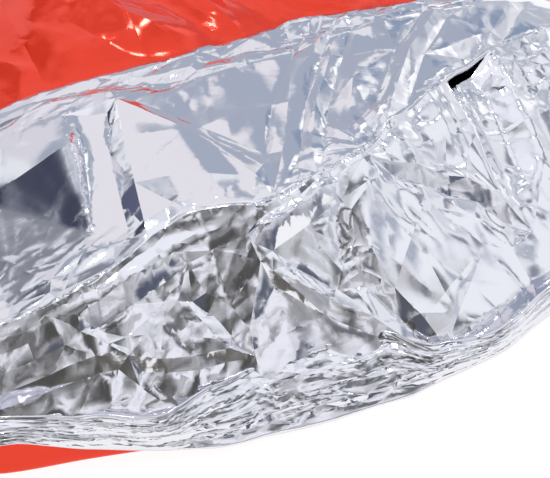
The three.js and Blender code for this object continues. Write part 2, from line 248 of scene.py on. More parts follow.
FLOOR_CHAINS = (
    ((-203, 37, 6), (-190, 24, 8), (-181, 10, 9), (-170, -3, 10)),
    ((-190, 36, 3), (-175, 24, 1), (-164, 10, 1), (-160, -1, 2)),
    ((-177, 36, 8), (-160, 22, 9), (-149, 5, 9), (-150, -11, 7)),
    ((-203, 37, 6), (-219, 28, 8), (-237, 20, 9), (-257, 12, 10)),
    ((-214, 40, 2), (-233, 32, 1), (-254, 26, 1)),
    ((-257, 12, 10), (-231, 4, 10), (-202, 0, 10), (-170, -3, 10)),
    ((-248, 4, 2), (-227, -2, 4), (-199, -6, 4), (-176, -7, 3)),
    ((-242, -4, 2), (-228, -15, 0), (-213, -28, 1)),
    ((-253, -3, 2), (-239, -15, 2)),
    ((-345, 0, 7), (-312, -8, 9), (-282, -10, 8), (-262, -20, 6)),
    ((-192, -16, 0), (-182, -27, 1)),
    ((-370, 19, 1), (-327, 15, 1), (-283, 12, 1), (-267, 10, 2)),
    ((-367, 25, 8), (-324, 21, 9), (-284, 19, 9), (-257, 12, 10)),
    ((-316, 55, 7), (-291, 35, 9), (-271, 23, 9), (-257, 12, 10)),
    ((-278, 36, 1), (-240, 42, 1), (-185, 60, 1), (-160, 62, 2)),
    ((-290, 43, 9), (-264, 48, 10), (-230, 55, 10), (-196, 66, 7)),
    ((-357, 47, 8), (-335, 44, 9), (-316, 55, 7)),
    ((-361, 38, 2), (-333, 35, 2), (-305, 34, 2)),
    ((-136, 44, 8), (-126, 37, 9), (-117, 30, 9)),
    ((-129, 49, 9), (-88, 63, 11), (-40, 86, 10), (5, 112, 7)),
    ((-131, 58, 2), (-91, 74, 1), (-48, 93, 2)),
    ((-112, 44, 1), (-73, 61, 1), (-30, 81, 2)),
    ((12, 114, 7), (61, 116, 9), (112, 110, 10), (148, 93, 10), (167, 68, 9)),
    ((32, 109, 1), (74, 105, 0), (118, 94, 0), (148, 76, 1)),
    ((16, 98, 4), (61, 90, 5), (106, 77, 5), (143, 62, 5)),
    ((21, 120, 7), (65, 137, 7), (111, 153, 8)),
    ((156, 185, 8), (154, 166, 9), (131, 142, 8), (99, 126, 6)),
    ((-24, 72, 7), (-29, 51, 8), (-32, 33, 7)),
    ((-40, 71, 1), (-45, 52, 1), (-47, 37, 1)),
    ((-33, 26, 8), (-6, 13, 10), (14, -10, 10), (27, -30, 7)),
    ((-31, 18, 1), (-8, 0, 0), (12, -22, 1)),
    ((-117, 30, 9), (-71, 11, 8), (-30, -9, 8), (9, -28, 5)),
    ((-97, 36, 1), (-59, 21, 1)),
    ((-118, 25, 1), (-78, 5, 1), (-40, -14, 1)),
    ((167, 68, 9), (134, 49, 7), (106, 51, 6)),
    ((167, 68, 9), (172, 48, 7)),
    ((211, 217, 7), (225, 187, 8), (234, 165, 7)),
    ((-447, -70, 4), (-300, -70, 6), (-150, -70, 4), (0, -70, 6), (150, -40, 4), (300, 60, 6),
     (447, 300, 4)),
    ((-447, 120, 4), (-300, 130, 6), (-150, 160, 4), (0, 220, 6), (150, 300, 4), (300, 380, 6),
     (447, 420, 4)),
)
# How far the lower film's crest stays under the top of the cuff's fold, station by station: it closes
# over the fold but for a hollow on the right
CREST_GAP = table(
    "x z",
    (-447, 11),
    (-435, 20),
    (-405, 5),
    (-380, -4),
    (128, -5),
    (150, 3),
    (168, 12),
    (188, 12),
    (206, 4),
    (224, -5),
    (360, -3),
    (400, 14),
    (435, 22),
    (447, 11),
)

# A dent in the cuff's left half, fanned out from its point: how steeply it rises at each turn
CONE = table(
    "turn rise",
    (-60, 0),
    (-35, 0),
    (-22, 0.045),
    (-8, 0.115),
    (7.5, 0.185),
    (13, 0.04),
    (18, 0),
    (60, 0),
)

# Folds of the body, each a straight ridge (or, below zero, a trough) whose sides run out over reach
BODY_CREASES = table(
    "x y end_x end_y height reach",
    (-66, 384, -150, 530, 16, 40),
    (2, 392, -40, 520, 9, 32),
    (-300, 420, -215, 640, -14, 62),
    (120, 404, 60, 560, 11, 44),
    (330, 470, 200, 760, -16, 70),
    (-150, 530, -190, 820, 14, 56),
    (-20, 700, 110, 1010, -14, 64),
    (-310, 900, -210, 1190, 16, 60),
    (250, 980, 330, 1260, 14, 58),
    (60, 1130, -40, 1420, -16, 66),
    (-330, 1380, -250, 1700, -14, 58),
    (180, 1400, 230, 1690, 16, 54),
    (-110, 1480, -150, 1760, 14, 46),
)

# The camera stands where the photograph was taken: its turn from straight along the bag, its
# height above the horizon, and the width that it takes in at the place it looks at
CAMERA_TURN = 22
CAMERA_RISE = 38
CAMERA_DISTANCE = 1600
CAMERA_TARGET = (-78, 122, 60)
CAMERA_WIDTH = 512
CAMERA_SIGHT = 100  # metres
SENSOR = 36


def smoothstep(value, low, high):
    share = np.clip((value - low) / (high - low), 0, 1)
    return share * share * (3 - 2 * share)


def mix(low, high, share):
    return low + (high - low) * share


def along(rows, key, column, place):
    """A table's column at some places, run smoothly through its rows."""
    keys, values = rows[key], rows[column]
    slopes = np.diff(values) / np.diff(keys)
    before, after = slopes[:-1], slopes[1:]
    rising = before * after > 0
    total = np.where(rising, before + after, 1)
    tangents = np.concatenate([slopes[:1], np.where(rising, 2 * before * after / total, 0), slopes[-1:]])
    i = np.clip(np.searchsorted(keys, place, "right") - 1, 0, len(keys) - 2)
    span = keys[i + 1] - keys[i]
    t = np.clip((place - keys[i]) / span, 0, 1)
    start = values[i] * (2 * t**3 - 3 * t**2 + 1) + span * tangents[i] * (t**3 - 2 * t**2 + t)
    return start + values[i + 1] * (3 * t**2 - 2 * t**3) + span * tangents[i + 1] * (t**3 - t**2)


def lower_mouth(column, x):
    return along(LOWER_MOUTH, "x", column, x)


def creased(rows, x, y):
    """How far a table of folds lifts the film: its highest ridge and its deepest trough together."""
    ridge, trough = np.zeros_like(x), np.zeros_like(x)
    for k in range(len(rows["x"])):
        dx, dy = rows["end_x"][k] - rows["x"][k], rows["end_y"][k] - rows["y"][k]
        share = ((x - rows["x"][k]) * dx + (y - rows["y"][k]) * dy) / (dx * dx + dy * dy)
        share = np.clip(share, 0, 1)
        away = np.hypot(x - rows["x"][k] - share * dx, y - rows["y"][k] - share * dy)
        lift = rows["height"][k] * np.maximum(0, 1 - away / rows["reach"][k])
        ridge, trough = np.maximum(ridge, lift), np.minimum(trough, lift)
    return ridge + trough


def crease_lines(rows):
    return np.stack([rows["x"], rows["y"], rows["end_x"], rows["end_y"]], 1).reshape(-1, 2, 2)


class FacetNet:
    """A net of straight creases between nodes. Each node stands at a height of its own, and the film
    between is flat but for a bulge in or out, which is full where a facet is wide enough."""

    def __init__(self, nodes, heights, joints=(), bulge=0, seed=0, to_net=np.eye(2),
                 wide=MESH_WIDE):
        self.to_net = to_net
        plan = [Vector(p) for p in nodes]
        result = delaunay_2d_cdt(plan, list(joints), [], 0, SAME_PLACE, True)
        origins = [first[0] if first else 0 for first in result[3]]
        self.nodes = np.array(result[0])
        self.heights = np.array(heights)[origins]
        self.triangles = np.array(result[2])
        a, b, c = self.nodes[self.triangles].transpose(1, 0, 2)
        ab, bc, ca = b - a, c - b, a - c
        longest = np.sqrt(np.max([(side**2).sum(1) for side in (ab, bc, ca)], 0))
        area = np.abs(ab[:, 0] * (c[:, 1] - a[:, 1]) - (c[:, 0] - a[:, 0]) * ab[:, 1])
        full = np.minimum(1, area / longest / wide)
        draws = np.random.default_rng(seed).uniform(-bulge, bulge, len(self.triangles))
        self.bulges = FACET_MIDDLE * full * draws
        self.lines = self.nodes[np.array(result[1])] @ np.linalg.inv(to_net)

    def __call__(self, x, y):
        places = np.stack([x, y], -1).reshape(-1, 2) @ self.to_net
        order = np.argsort(places[:, 0])
        sorted_places = places[order]
        lift = np.zeros(len(places))
        for corners, bulge in zip(self.triangles, self.bulges):
            a, b, c = self.nodes[corners]
            lows = np.minimum(np.minimum(a, b), c)
            highs = np.maximum(np.maximum(a, b), c)
            i, j = np.searchsorted(sorted_places[:, 0], (lows[0], highs[0]))
            near = sorted_places[i:j]
            area = (b[0] - a[0]) * (c[1] - a[1]) - (c[0] - a[0]) * (b[1] - a[1])
            if i == j or abs(area) < TINY:
                continue
            dx, dy = near[:, 0] - a[0], near[:, 1] - a[1]
            of_b = (dx * (c[1] - a[1]) - dy * (c[0] - a[0])) / area
            of_c = (dy * (b[0] - a[0]) - dx * (b[1] - a[1])) / area
            held = (of_b >= -TINY) & (of_c >= -TINY) & (of_b + of_c <= 1 + TINY)
            heights = self.heights[corners]
            value = heights[0] + of_b * (heights[1] - heights[0]) + of_c * (heights[2] - heights[0])
            value += bulge * of_b * of_c * (1 - of_b - of_c)
            lift[order[i:j][held]] = value[held]
        return lift.reshape(np.shape(x))


def random_net(seed, low, high, cell, height, bulge=0, turn_deg=0):
    """A facet net over a rectangle. cell is the size of its meshes along and across turn_deg."""
    rng = np.random.default_rng(seed)
    turn = radians(turn_deg)
    to_net = np.array([[cos(turn) / cell[0], -sin(turn) / cell[1]],
                       [sin(turn) / cell[0], cos(turn) / cell[1]]])
    corners = np.array([low, (high[0], low[1]), high, (low[0], high[1])])
    first = np.floor((corners @ to_net).min(0)) - 2
    last = np.ceil((corners @ to_net).max(0)) + 2
    rows = np.arange(first[1], last[1], ROW_SPACING)
    columns = np.arange(first[0], last[0])
    nodes = np.array([(c + 0.5 * (i % 2), r) for i, r in enumerate(rows) for c in columns])
    nodes = nodes + rng.uniform(-NODE_SHIFT, NODE_SHIFT, nodes.shape)
    heights = rng.uniform(-height, height, len(nodes))
    net = FacetNet(nodes, heights, bulge=bulge, seed=seed, to_net=to_net)
    inside = ((net.lines > np.array(low)) & (net.lines < np.array(high))).all(2).all(1)
    net.lines = net.lines[inside]
    return net


def pinched(net, x, y):
    """How far a placed net's creases are drawn up, or the low ones down, to sharp edges."""
    lift = np.zeros_like(x)
    for (start, end), top in zip(net.chained, net.tops):
        way = end - start
        share = np.clip(((x - start[0]) * way[0] + (y - start[1]) * way[1]) / (way @ way), 0, 1)
        away = np.hypot(x - start[0] - share * way[0], y - start[1] - share * way[1])
        pinch = PINCH * np.clip((top - PINCH_LEVEL) / PINCH_LEVEL, -1, 1)
        here = pinch * np.maximum(0, 1 - away / PINCH_REACH) ** 2 * np.sin(pi * share) ** 0.5
        lift = np.where(np.abs(here) > np.abs(lift), here, lift)
    return lift


def placed_net(chains, bulge, seed):
    """A facet net along chains of places."""
    places = np.array([place for chain in chains for place in chain], float)
    joints, first = [], 0
    for chain in chains:
        joints += [(first + k, first + k + 1) for k in range(len(chain) - 1)]
        first += len(chain)
    net = FacetNet(places[:, :2], places[:, 2], joints, bulge, seed, wide=FACET_WIDE)
    net.chained = places[np.array(joints), :2]
    net.tops = places[np.array(joints), 2].mean(1)
    return net


class Ripple:
    """A smooth waviness: plane waves of about one length, which run within spread_deg of turn_deg."""

    def __init__(self, seed, length, height, turn_deg=0, spread_deg=180, waves=9):
        rng = np.random.default_rng(seed)
        turns = np.radians(turn_deg + spread_deg * rng.uniform(-1, 1, waves))
        lengths = length * rng.uniform(*WAVE_LENGTHS, waves)
        self.along = np.stack([np.cos(turns), np.sin(turns)]) * 2 * pi / lengths
        self.phase = rng.uniform(0, 2 * pi, waves)
        self.height = height / np.sqrt(waves)

    def __call__(self, x, y):
        angle = x[..., None] * self.along[0] + y[..., None] * self.along[1] + self.phase
        return self.height * np.sin(angle).sum(-1)


class Fan:
    """Soft folds that run out from one place like the ribs of a fan."""

    def __init__(self, seed, place, folds, steepness, reach, waves=6):
        rng = np.random.default_rng(seed)
        self.place, self.reach = place, reach
        self.orders = rng.integers(folds // 3, folds, waves)
        self.phase = rng.uniform(0, 2 * pi, waves)
        self.slope = steepness / folds / np.sqrt(waves)

    def __call__(self, x, y):
        dx, dy = x - self.place[0], y - self.place[1]
        away = np.hypot(dx, dy)
        wave = np.sin(np.arctan2(dy, dx)[..., None] * self.orders + self.phase).sum(-1)
        fade = 1 - smoothstep(away, FAN_CORE * self.reach, self.reach)
        return self.slope * away * fade * wave


class Cone:
    """A dent like part of a cone. Straight lines rise from its point to a rim across the film, as
    steeply as a table gives for each turn from straight along the bag, and past it the film falls."""

    def __init__(self, point, rim_y, fall, rows):
        self.point, self.rim_y, self.fall, self.rows = point, rim_y, fall, rows
        lines = []
        for turn in rows["turn"][rows["rise"] > 0]:
            end = point[0] + np.tan(np.radians(turn)) * (rim_y - point[1]), rim_y
            lines.append((mix(np.array(point), np.array(end), CONE_START), end))
        rim = [line[1] for line in lines]
        self.lines = np.array(lines + list(zip(rim[:-1], rim[1:])))

    def __call__(self, x, y):
        dx, dy = x - self.point[0], np.maximum(y - self.point[1], SAME_PLACE)
        rise = along(self.rows, "turn", "rise", np.degrees(np.arctan2(dx, dy)))
        past = np.clip((y - self.rim_y) / self.fall, 0, 1)
        return rise * np.minimum(dy, self.rim_y - self.point[1]) * (1 - past) ** 2


def zigzag(seed, step, height):
    """An uneven run of straight stretches along x, as a function of x."""
    rng = np.random.default_rng(seed)
    nodes = np.arange(-EDGE_X - step, EDGE_X + 2 * step, step)
    nodes = nodes + rng.uniform(-BEND_SHIFT, BEND_SHIFT, len(nodes)) * step
    heights = rng.uniform(-height, height, len(nodes))
    return lambda x: np.interp(x, nodes, heights)


# Where the film lies calm, without small crumpling
CUFF_CALM = table(
    "x y reach",
    (-158, 190, 90),
    (-262, 244, 75),
    (-40, 270, 60),
    (20, 300, 55),
    (-60, 165, 50),
    (-15, 235, 55),
    (55, 345, 45),
)
FLOOR_CALM = table(
    "x y reach",
    (105, 60, 60),
    (150, 165, 55),
    (-35, 110, 45),
    (-330, 60, 45),
    (240, 190, 50),
)


def crumpled(rows, x, y):
    """1 where the film is crumpled, falling to CALM in the middle of each of a table's calm places."""
    calm = np.zeros_like(x)
    for place_x, place_y, reach in zip(rows["x"], rows["y"], rows["reach"]):
        away = np.hypot(x - place_x, y - place_y) / reach
        calm = np.maximum(calm, 1 - smoothstep(away, CALM_CORE, 1))
    return mix(1, CALM, calm)


# The areas that the random nets cover, each from its lowest to its highest corner
CUFF_AREA = (-EDGE_X, CUFF_Y[0]), (EDGE_X, 460)
FRONT_AREA = (-EDGE_X, CUFF_Y[0]), (EDGE_X, 420)
LEFT_AREA = (-EDGE_X, FLOOR_START), (20, 240)
RIGHT_AREA = (-160, FLOOR_START), (EDGE_X, 440)
FLOOR_AREA = (-EDGE_X, FLOOR_START), (EDGE_X, 440)
HOLLOW_AREA = (150, 170), (330, 380)
BAND_AREA = (-EDGE_X, 0), (EDGE_X, BAND_SPAN)
WALL_AREA = (-EDGE_X, 0), (EDGE_X, WALL_SPAN)
BODY_AREA = (-EDGE_X, BODY_START), (EDGE_X, BODY_END)
NEAR_BODY_AREA = (-EDGE_X, BODY_START), (EDGE_X, NEAR_BODY_END)

# Folds and crumpling of each stretch of film, from broad facets to small ones. Each net, ripple, fan
# and zigzag has a seed of its own, its first number or the last of a placed net.
CUFF_FOLDS = placed_net(CUFF_CHAINS, 0.8, 20)
CUFF_FACETS = random_net(21, *CUFF_AREA, (120, 34), 0.6, bulge=0.8, turn_deg=62)
CUFF_DIMPLES = random_net(22, *CUFF_AREA, (40, 16), 0.35, bulge=0.3, turn_deg=66)
FRONT_FACETS = random_net(24, *FRONT_AREA, (44, 16), 2.6, bulge=1.0, turn_deg=14)
CUFF_WAVES = Ripple(25, 70, 0.4, turn_deg=-30, spread_deg=50)
CUFF_FAN = Fan(26, (14, 132), 14, 0.3, 280)
CUFF_CONE = Cone((-249, 127), 247, 130, CONE)
FLOOR_FOLDS = placed_net(FLOOR_CHAINS, 2.5, 30)
LEFT_FACETS = random_net(31, *LEFT_AREA, (60, 24), 1.2, bulge=1.2, turn_deg=18)
RIGHT_FACETS = random_net(34, *RIGHT_AREA, (64, 30), 1.0, bulge=1.8, turn_deg=-28)
FLOOR_DIMPLES = random_net(32, *FLOOR_AREA, (24, 12), 0.35, bulge=0.3, turn_deg=4)
LEFT_STREAKS = Ripple(33, 24, 0.45, turn_deg=100, spread_deg=18)
RIGHT_WAVES = Ripple(35, 62, 1.0)
HOLLOW_FACETS = random_net(37, *HOLLOW_AREA, (18, 10), 2.4, bulge=0.8, turn_deg=24)
FLOOR_FAN = Fan(36, (12, 118), 18, 0.2, 220)
BAND_FACETS = random_net(41, *BAND_AREA, (54, 13), 1.7, bulge=1.0, turn_deg=4)
BAND_DIMPLES = random_net(42, *BAND_AREA, (22, 6), 0.6, bulge=0.4, turn_deg=-4)
WALL_FACETS = random_net(51, *WALL_AREA, (52, 22), 2.4, turn_deg=3)
BODY_FACETS = random_net(61, *BODY_AREA, (130, 90), 3.4, bulge=2.0, turn_deg=78)
BODY_DIMPLES = random_net(62, *NEAR_BODY_AREA, (46, 22), 1.4, bulge=0.6, turn_deg=118)
ROLL_BENDS = zigzag(77, 16, 0.25)
CREST_BENDS = zigzag(78, 18, 3.0)


def arch(x):
    """1 over most of the bag's width, falling to 0 at the side seals."""
    return 1 - np.minimum(1, np.abs(x) / HALF_WIDTH) ** ARCH_POWER


def turn_radius(x):
    return mix(SIDE_RADIUS, TURN_RADIUS, arch(x)) * (1 + ROLL_BENDS(x))


def lip_radius(x):
    return mix(SIDE_LIP_RADIUS, LIP_RADIUS, arch(x))


def pillow(x, y):
    """The swelling between the creases in which the film was packed."""
    across = np.abs(np.sin(pi * (x + HALF_WIDTH) * PACK_PANELS / (2 * HALF_WIDTH)))
    lengthwise = np.abs(np.sin(pi * (y - MIDDLE_Y) / PACK_LENGTH))
    return PACK_PILLOW * across * mix(lengthwise, 1, PACK_RIB)


def uneven(rows, column, bends):
    """A line across the mouth, as a function of x: a table's column, bent all along but at the seals."""
    return lambda x: along(rows, "x", column, x) + arch(x) * bends(x)


ridge_y = uneven(UPPER_MOUTH, "ridge_y", zigzag(71, 34, 3.0))
ridge_z = uneven(UPPER_MOUTH, "ridge_z", zigzag(72, 28, 2.4))
cuff_y = uneven(UPPER_MOUTH, "cuff_y", zigzag(73, 46, 1.8))
lip_y = uneven(LOWER_MOUTH, "lip_y", zigzag(74, 24, 4.0))
lip_z = uneven(LOWER_MOUTH, "lip_z", zigzag(75, 20, 4.0))
hem_y = uneven(LOWER_MOUTH, "hem_y", zigzag(76, 36, 2.6))


def body_height(x, y):
    crown = along(CROWN, "y", "z", y) - SEAL_Z
    relief = pillow(x, y) + creased(BODY_CREASES, x, y) + BODY_FACETS(x, y)
    relief += BODY_DIMPLES(x, y) * (1 - smoothstep(y, *DIMPLES_END))
    relief *= mix(EDGE_RELIEF, 1, smoothstep(y - cuff_y(x), 0, EDGE_REACH))
    return SEAL_Z + arch(x) * (crown + relief * np.minimum(1, crown / FULL_CROWN))


def cuff_share(x, y):
    front = ridge_y(x)
    return (y - front) / (cuff_y(x) - front)


def covered_height(x, y):
    front = ridge_z(x) - 2 * turn_radius(x)
    return mix(front, body_height(x, cuff_y(x)), np.clip(cuff_share(x, y), 0, 1))


def cuff_crumpling(x, share):
    """How crumpled the cuff is: along its fold, most of all on the left, and along its hem."""
    width = mix(*FRONT_SHARES, smoothstep(x, *FRONT_LEFT))
    return 1 - smoothstep(share, 0.5 * width, width) + smoothstep(share, *HEM_SHARES)


def cuff_height(x, y):
    share = cuff_share(x, y)
    gap = mix(2 * turn_radius(x), CUFF_CLEARANCE * mix(SIDE_CLEARANCE, 1, arch(x)), share)
    free = np.clip(FOLD_RELIEF + share / FOLD_SHARE, FOLD_RELIEF, 1)
    calm = crumpled(CUFF_CALM, x, y)
    lift = CUFF_FOLDS(x, y) + pinched(CUFF_FOLDS, x, y)
    lift += (CUFF_FACETS(x, y) + CUFF_DIMPLES(x, y)) * calm
    lift += FRONT_FACETS(x, y) * cuff_crumpling(x, share) + CUFF_WAVES(x, y) * calm
    past_strip = x - np.interp(y, STRIP_Y, STRIP_X)
    lift += CUFF_FAN(x, y) * smoothstep(past_strip, *PAST_STRIP) + CUFF_CONE(x, y)
    return covered_height(x, y) + gap + arch(x) * free * lift


def at_hollow(x, y):
    """1 in the crumpled place beside the hollow under the fold, and 0 away from it."""
    return 1 - smoothstep(np.hypot(x - HOLLOW[0], y - HOLLOW[1]) / HOLLOW_REACH, HOLLOW_CORE, 1)


def floor_height(x, y):
    foot = lower_mouth("foot_y", x)
    start, crest = foot + SWELL_START, ridge_y(x) - CREST_LEAD
    rise = np.clip((y - start) / (crest - start), 0, 1)
    fall = 1 - smoothstep(y, crest + CREST_LENGTH, crest + CREST_LENGTH + SWELL_FALL)
    from_wall = smoothstep(y - foot, *WALL_APRON)
    to_body = 1 - smoothstep(y, *MOUTH_END)
    near_crest = smoothstep(rise, CREST_SHARE, 1)
    calm = crumpled(FLOOR_CALM, x, y)
    to_right = smoothstep(x, *RIGHT_START)
    facets = mix(LEFT_FACETS(x, y), RIGHT_FACETS(x, y), to_right)
    waves = mix(LEFT_STREAKS(x, y), RIGHT_WAVES(x, y), to_right) + FLOOR_FAN(x, y)
    folds = np.maximum(0, FOLD_LOFT + FLOOR_FOLDS(x, y) + facets * calm)
    folds = (folds + pinched(FLOOR_FOLDS, x, y)) * mix(1, CREST_FOLDS, near_crest)
    relief = folds + FLOOR_DIMPLES(x, y) * calm * mix(1, RIGHT_DIMPLES, to_right) + waves
    relief += HOLLOW_FACETS(x, y) * at_hollow(x, y)
    gap = along(CREST_GAP, "x", "z", x)
    swell = np.maximum(0, ridge_z(x) - gap + CREST_BENDS(x) * arch(x))
    tuck = np.minimum(TUCK, swell) * smoothstep(y, crest, crest + TUCK_LENGTH)
    lift = (swell * rise - tuck) * fall + relief * from_wall * arch(x)
    return FLOOR_Z + np.maximum(0, lift) * to_body


class Film:
    """A sheet of film, gathered zone by zone: its middle surface, its triangles, which wind as the
    silver face is seen, and the creases among its edges."""

    def __init__(self):
        self.places, self.triangles, self.creases = [], [], []
        self.count = 0

    def add(self, x, y, z):
        """Adds points and gives their numbers."""
        points = np.stack(np.broadcast_arrays(x, y, z), -1).astype(float).reshape(-1, 3)
        self.places.append(points)
        self.count += len(points)
        return np.arange(self.count - len(points), self.count)

    def weave(self, rows, flip):
        """Joins rows of points, each as long as the next, by pairs of triangles."""
        for low, high in zip(rows[:-1], rows[1:]):
            a, b, c, d = low[:-1], low[1:], high[1:], high[:-1]
            faces = np.concatenate([np.stack([a, b, c], 1), np.stack([a, c, d], 1)])
            self.triangles.append(faces[:, ::-1] if flip else faces)

    def fill(self, border, numbers, spots, lines, height, flip=False, step=CREASE_STEP):
        """Fills a border with triangles that follow its crease lines. border is a loop of plan
        places, numbers their points, and height turns plan places to points."""
        chains, joints = chained(lines, border, step)
        spots = thinned(spots, border, chains, step)
        plan = np.concatenate([border, spots, chains])
        loop = [(k, (k + 1) % len(border)) for k in range(len(border))]
        first = len(border) + len(spots)
        edges = loop + [(first + a, first + b) for a, b in joints]
        result = delaunay_2d_cdt([Vector(p) for p in plan], edges, [], 1, MERGED, True)
        places = np.array(result[0])
        taken = np.full(len(places), -1)
        for k, origins in enumerate(result[3]):
            known = [numbers[i] for i in origins if i < len(border)]
            if known:
                taken[k] = known[0]
        fresh = np.where(taken < 0)[0]
        taken[fresh] = self.add(*height(places[fresh, 0], places[fresh, 1]))
        faces = np.array([face for face in result[2] if len(face) == 3])
        faces = taken[faces[held_by(border, places[faces].mean(1), margin=0)]]
        self.triangles.append(faces[:, ::-1] if flip else faces)
        folds = [edge for edge, origins in zip(result[1], result[4])
                 if any(i >= len(loop) for i in origins)]
        if folds:
            self.creases.append(taken[np.array(folds)])


def chained(lines, border, step):
    """Crease lines as chains of places, kept clear of the border: the places, and which are joined."""
    places, joints, count = [np.zeros((0, 2))], [], 0
    for start, end in lines:
        steps = max(2, int(np.ceil(np.hypot(*(end - start)) / step)) + 1)
        chain = mix(start, end, np.linspace(0, 1, steps)[:, None])
        kept = held_by(border, chain)
        numbers = count + np.cumsum(kept) - 1
        joints += [(numbers[k], numbers[k + 1]) for k in range(steps - 1)
                   if kept[k] and kept[k + 1]]
        places.append(chain[kept])
        count += int(kept.sum())
    return np.concatenate(places), joints


def held_by(border, places, margin=CREASE_MARGIN):
    """True where a place is inside a border whose loop runs along two edges that cross the film."""
    middle = len(border) // 2
    low_row = border[:middle]
    high_row = border[:middle - 1:-1]
    low = np.interp(places[:, 0], low_row[:, 0], low_row[:, 1])
    high = np.interp(places[:, 0], high_row[:, 0], high_row[:, 1])
    within = np.abs(places[:, 0]) < EDGE_X - margin
    return within & (places[:, 1] > low + margin) & (places[:, 1] < high - margin)


def thinned(spots, border, chains, step):
    """Drops the places that lie outside a border or close to a crease."""
    spots = spots[held_by(border, spots, SPOT_MARGIN)]
    cell = step * SPOT_CELL
    taken = {tuple(c) for c in np.round(chains / cell).astype(int)}
    cells = np.round(spots / cell).astype(int)
    free = [tuple(c) not in taken for c in cells]
    return spots[np.array(free, bool)] if len(spots) else spots


def honeycomb(low_y, high_y, step):
    """Places over the film's width, a step apart, in offset rows."""
    rows = np.arange(low_y, high_y, step * ROW_SPACING)
    columns = np.arange(-EDGE_X, EDGE_X, step)
    return np.array([(c + 0.5 * step * (i % 2), r) for i, r in enumerate(rows) for c in columns])


def columns_across():
    inside = np.linspace(-HALF_WIDTH, HALF_WIDTH, int(2 * HALF_WIDTH / COLUMN_STEP) + 1)
    return np.concatenate([[-EDGE_X], inside, [EDGE_X]])


def border_between(low_row, high_row):
    """A loop along two rows of plan places, low from left to right and high back again."""
    return np.concatenate([low_row, high_row[::-1]])


def upper_film():
    film = Film()
    x = columns_across()
    front, back, radius = ridge_y(x), cuff_y(x), turn_radius(x)
    edge_row = film.add(x, back, cuff_height(x, back))
    ridge_row = film.add(x, front, cuff_height(x, front))
    carried = cuff_height(x, front) - ridge_z(x)
    rows = [ridge_row]
    for share in np.linspace(0, 1, FOLD_ROWS)[1:]:
        angle = pi * (0.5 + share)
        z = ridge_z(x) - radius + radius * sin(angle) + carried * (1 - share) ** 2
        rows.append(film.add(x, front + radius * cos(angle), z))
    for share in np.linspace(0, 1, COVERED_ROWS)[1:]:
        y = mix(front, back, share)
        rows.append(film.add(x, y, covered_height(x, y)))
    film.weave(rows, flip=True)
    covered_end = rows[-1]

    border = border_between(np.stack([x, front], 1), np.stack([x, back], 1))
    strip = FRONT_FACETS.lines
    middle = strip.mean(1)
    strip = strip[cuff_crumpling(middle[:, 0], cuff_share(middle[:, 0], middle[:, 1])) > 0]
    lines = np.concatenate([CUFF_FOLDS.lines, CUFF_FACETS.lines, CUFF_DIMPLES.lines, CUFF_CONE.lines,
                            strip])
    film.fill(border, np.concatenate([ridge_row, edge_row[::-1]]), honeycomb(*CUFF_Y, CUFF_STEP), lines,
              lambda px, py: (px, py, cuff_height(px, py)))

    end = np.full_like(x, FOOT_SEAL_Y + SEAL_WIDTH)
    end_row = film.add(x, end, SEAL_Z)
    border = border_between(np.stack([x, back], 1), np.stack([x, end], 1))
    pack_x = np.linspace(-HALF_WIDTH, HALF_WIDTH, PACK_PANELS + 1)
    pack_y = MIDDLE_Y + PACK_LENGTH * np.arange(*PACK_ROWS)
    packing = [((p, BODY_START), (p, FOOT_SEAL_Y)) for p in pack_x]
    packing += [((-HALF_WIDTH, p), (HALF_WIDTH, p)) for p in pack_y]
    lines = np.concatenate([np.array(packing), crease_lines(BODY_CREASES), BODY_FACETS.lines,
                            BODY_DIMPLES.lines])
    spots = np.concatenate([honeycomb(BODY_START, NEAR_BODY_END, NEAR_BODY_STEP),
                            honeycomb(NEAR_BODY_END, FOOT_SEAL_Y, FAR_BODY_STEP)])
    film.fill(border, np.concatenate([covered_end, end_row[::-1]]), spots, lines,
              lambda px, py: (px, py, body_height(px, py)), flip=True, step=BODY_CREASE_STEP)
    return film


def band_relief(x, q):
    """How far the band's crumpling stands out at a place, q from its hem."""
    height = np.hypot(lip_y(x) - hem_y(x), lip_z(x) - lower_mouth("hem_z", x))
    relief = np.maximum(BAND_FACETS(x, q) + BAND_DIMPLES(x, q), BAND_DIP)
    by_hem = mix(HEM_RELIEF, 1, smoothstep(q / BAND_SPAN, 0, HEM_SHARE))
    return relief * np.minimum(1, height / FULL_BAND) * arch(x) * by_hem


def band_place(x, q):
    """A point of the band, q from its hem up to the lip."""
    share = q / BAND_SPAN
    radius = lip_radius(x)
    hem = hem_y(x), lower_mouth("hem_z", x)
    top = lip_y(x) - radius, lip_z(x) - radius
    run = top[0] - hem[0], top[1] - hem[1]
    length = np.hypot(*run)
    out = HEM_BULGE * np.sin(pi * share) * arch(x) + band_relief(x, q)
    y = mix(hem[0], top[0], share) - out * run[1] / length
    z = mix(hem[1], top[1], share) + out * run[0] / length
    return x, y, np.maximum(z, BAND_LOWEST)


def wall_place(x, q):
    """A point of the wall inside the lip, q from its crest down to the floor."""
    share = q / WALL_SPAN
    radius = lip_radius(x)
    lip = lip_y(x) + radius, lip_z(x) - radius
    bend = floor_bend(x)
    foot = lower_mouth("foot_y", x), FLOOR_Z + bend
    relief = WALL_FACETS(x, q) * np.sin(pi * share) * arch(x)
    return x, mix(lip[0], foot[0], share) + relief, mix(lip[1], foot[1], share)


def floor_bend(x):
    return np.minimum(FLOOR_BEND, (lower_mouth("lip_z", x) - lip_radius(x)) / 2)


def shown(places):
    """True for plan places of the lower panel that lie before the cuff's fold or just behind it."""
    return places[:, 1] < along(UPPER_MOUTH, "x", "ridge_y", places[:, 0]) + SHOWN_BEHIND_RIDGE


